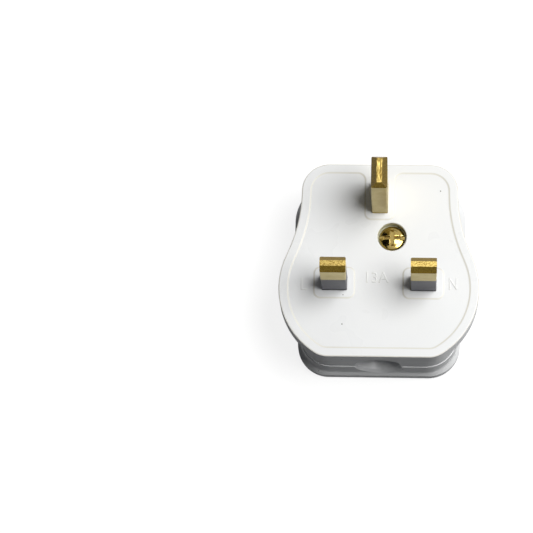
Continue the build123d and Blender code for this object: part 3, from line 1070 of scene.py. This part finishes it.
@dataclass
class Wiring:
    """The terminals, the fuse in its clips and the cord grip, all inside the housing."""

    brass: PlainMetal = PlainMetal(
        name="machined_terminal_brass", colour=(0.80, 0.62, 0.30), tarnish=(0.50, 0.36, 0.16), rough=0.26
    )
    zinc: PlainMetal = PlainMetal(
        name="zinc_plate", colour=(0.62, 0.64, 0.67), tarnish=(0.44, 0.45, 0.46), rough=0.26
    )
    bronze: PlainMetal = PlainMetal(
        name="spring_bronze", colour=(0.74, 0.50, 0.27), tarnish=(0.42, 0.25, 0.12), rough=0.3
    )
    nickel: PlainMetal = PlainMetal(
        name="nickel_cap", colour=(0.74, 0.73, 0.70), tarnish=(0.52, 0.50, 0.46), rough=0.18
    )
    wire: PlainMetal = PlainMetal(
        name="tinned_wire", colour=(0.66, 0.66, 0.66), tarnish=(0.45, 0.45, 0.45), rough=0.3
    )
    ceramic: DullSolid = DullSolid(
        name="cream_ceramic", colour=(0.78, 0.74, 0.65), deep=(0.72, 0.68, 0.58), rough=0.5, grain=5200.0
    )
    nylon: DullSolid = DullSolid(
        name="white_nylon", colour=(0.72, 0.73, 0.74), deep=(0.67, 0.68, 0.68), rough=0.42, worn=0.1
    )
    clamp: ThreadedScrew = ThreadedScrew(
        "earth_terminal_screw",
        "terminal_brass",
        seat=7.8 * MM,
        into=1,
        radius=1.6 * MM,
        neck=0.3 * MM,
        pitch=0.6 * MM,
        cut=Cut.MACHINE,
    )
    clamp_nodes: tuple[str, ...] = ("earth_terminal_screw", "neutral_terminal_screw", "live_terminal_screw")
    grip: ThreadedScrew = ThreadedScrew(
        "cord_grip_screw_left",
        "grip_screw",
        seat=5.8 * MM,
        into=1,
        radius=1.3 * MM,
        neck=0.5 * MM,
        pitch=0.9 * MM,
        cut=Cut.TAPPING,
        point=1.6 * MM,
        point_radius=0.35 * MM,
    )
    grip_nodes: tuple[str, ...] = ("cord_grip_screw_left", "cord_grip_screw_right")

    def build(self) -> None:
        """Makes the screws inside and dresses the other pieces."""
        screw_brass = self.brass.material()
        for node in self.clamp_nodes:
            replace(self.clamp, node=node).build(screw_brass)
        dress_nodes(("live_terminal",), screw_brass)
        zinc = self.zinc.material()
        for node in self.grip_nodes:
            replace(self.grip, node=node).build(zinc)
        dress_nodes(("fuse_clip_lower", "fuse_clip_upper"), self.bronze.material())
        dress_nodes(("fuse_cap_lower", "fuse_cap_upper"), self.nickel.material())
        dress_nodes(("fuse_element",), self.wire.material())
        dress_nodes(("fuse_tube",), self.ceramic.material())
        dress_nodes(("cord_grip_bar",), self.nylon.material())


# Floor, lamps and camera


@dataclass(frozen=True)
class Lamp:
    """A soft oval lamp: where it stands, how long it is, level with the floor, how wide, and its watts."""

    name: str
    place: Point
    sizes: Span
    power: float
    colour: Colour = (1.0, 1.0, 0.985)

    def build(self, aim: Point) -> None:
        """Sets the lamp up.

        Args:
            aim: the point that it is turned towards.
        """
        lamp = bpy.data.lights.new(self.name, "AREA")
        lamp.shape = "ELLIPSE"
        lamp.size, lamp.size_y = self.sizes
        lamp.energy = self.power
        lamp.color = self.colour
        holder = bpy.data.objects.new(self.name, lamp)
        bpy.context.scene.collection.objects.link(holder)
        holder.location = self.place
        ahead = Vector(aim) - Vector(self.place)
        holder.rotation_euler = ahead.to_track_quat("-Z", "Y").to_euler()


@dataclass
class Studio:
    """A white floor, three soft lamps, a black card on the left, a weak sky and the camera."""

    lamps: tuple[Lamp, ...] = (
        Lamp("key", (0.31, 0.055, 0.70), (0.62, 0.46), 6.2),
        Lamp("side", (0.60, 0.05, 0.19), (0.3, 0.3), 0.7),
        Lamp("back", (0.03, 0.45, 0.045), (0.5, 0.06), 0.8),
    )
    aim: Point = (0.0, 0.005, 0.015)
    floor_half: float = 1.5
    floor_bounce: Colour = (0.10, 0.10, 0.105)
    floor_shade: float = 0.26
    floor_glow: float = 1.15
    sky_colour: Colour = (0.92, 0.96, 1.0)
    sky_light: float = 0.06
    card_place: Point = (-0.24, 0.05, 0.22)
    card_half: float = 0.25
    card_colour: Colour = (0.015, 0.015, 0.015)
    lens: float = 175.94
    sensor: float = 36.0
    camera_place: Point = (0.0080545, -0.1730183, 0.6469371)
    camera_turn: Point = (15.8093, 2.8905, 1.4681)

    def seen(self, tree: Tree) -> Socket:
        """Tells rays that see the white backdrop, which come from the camera and reflections, from others.

        Args:
            tree: the node tree.

        Returns:
            The socket, which is 1 for such a ray.
        """
        path = put(tree, "ShaderNodeLightPath").outputs
        reflected = maths(tree, "MAXIMUM", path["Is Glossy Ray"], path["Is Transmission Ray"])
        return maths(tree, "MAXIMUM", path["Is Camera Ray"], reflected)

    def diffuse(self, tree: Tree, colour: tuple[float, ...]) -> Socket:
        """A matt shader of one colour."""
        return put(tree, "ShaderNodeBsdfDiffuse", {"Color": colour}).outputs[0]

    def build_square(self, name: str, half: float, finish: str) -> tuple[bpy.types.Object, Tree]:
        """Makes a flat square with an empty material.

        Args:
            name: its name.
            half: half the length of its sides.
            finish: its material's name.

        Returns:
            The square and its material's node tree.
        """
        bm = bmesh.new()
        bmesh.ops.create_grid(bm, x_segments=1, y_segments=1, size=half)
        square = finish_mesh(bm, name, Shading.CRISP)
        material = bpy.data.materials.new(finish)
        dress(square, material)
        return square, empty_tree(material)

    def build_floor(self) -> None:
        """A plain floor that looks white and keeps the plug's shadow."""
        floor, tree = self.build_square("floor", self.floor_half, "white_floor")
        bounce = self.diffuse(tree, (*self.floor_bounce, 1.0))
        lit = self.diffuse(tree, WHITE)
        glow = put(tree, "ShaderNodeEmission", {"Color": WHITE, "Strength": self.floor_glow}).outputs[0]
        white = put(tree, "ShaderNodeMixShader", {0: self.floor_shade, 1: glow, 2: lit}).outputs[0]
        mixed = put(tree, "ShaderNodeMixShader", {0: self.seen(tree), 1: bounce, 2: white}).outputs[0]
        put(tree, "ShaderNodeOutputMaterial", {"Surface": mixed})

    def build_sky(self) -> None:
        """Weak even light from all round, with a white backdrop."""
        world = bpy.data.worlds.new("studio")
        bpy.context.scene.world = world
        tree = empty_tree(world)
        light = put(tree, "ShaderNodeBackground", {0: (*self.sky_colour, 1.0), 1: self.sky_light}).outputs[0]
        backdrop = put(tree, "ShaderNodeBackground", {0: WHITE, 1: 1.0}).outputs[0]
        mixed = put(tree, "ShaderNodeMixShader", {0: self.seen(tree), 1: light, 2: backdrop}).outputs[0]
        put(tree, "ShaderNodeOutputWorld", {"Surface": mixed})

    def build_card(self) -> None:
        """A black card on the left, which the camera doesn't see, that keeps fill light off that side."""
        card, tree = self.build_square("flag", self.card_half, "black_card")
        card.location = self.card_place
        ahead = Vector(self.aim) - Vector(self.card_place)
        card.rotation_euler = ahead.to_track_quat("Z", "Y").to_euler()
        card.visible_camera = False
        black = self.diffuse(tree, (*self.card_colour, 1.0))
        put(tree, "ShaderNodeOutputMaterial", {"Surface": black})

    def build_camera(self) -> None:
        """The camera, where the photograph was taken from."""
        data = bpy.data.cameras.new("camera")
        data.sensor_fit = "HORIZONTAL"
        data.sensor_width = self.sensor
        data.lens = self.lens
        camera = bpy.data.objects.new("camera", data)
        bpy.context.scene.collection.objects.link(camera)
        camera.location = self.camera_place
        camera.rotation_euler = Euler([math.radians(a) for a in self.camera_turn], "XYZ")
        bpy.context.scene.camera = camera

    def build(self) -> None:
        """Sets the studio up."""
        self.build_floor()
        self.build_sky()
        for lamp in self.lamps:
            lamp.build(self.aim)
        self.build_card()
        self.build_camera()
        bpy.context.scene.view_settings.view_transform = "Standard"


def main() -> None:
    """Builds the plug's looks in order, and writes down how large they are."""
    logging.basicConfig(level=logging.INFO, format="%(name)s %(message)s")
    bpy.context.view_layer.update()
    Housing().build()
    Pins().build()
    CoverScrew().build()
    Wiring().build()
    Studio().build()


if __name__ == "__main__":
    main()
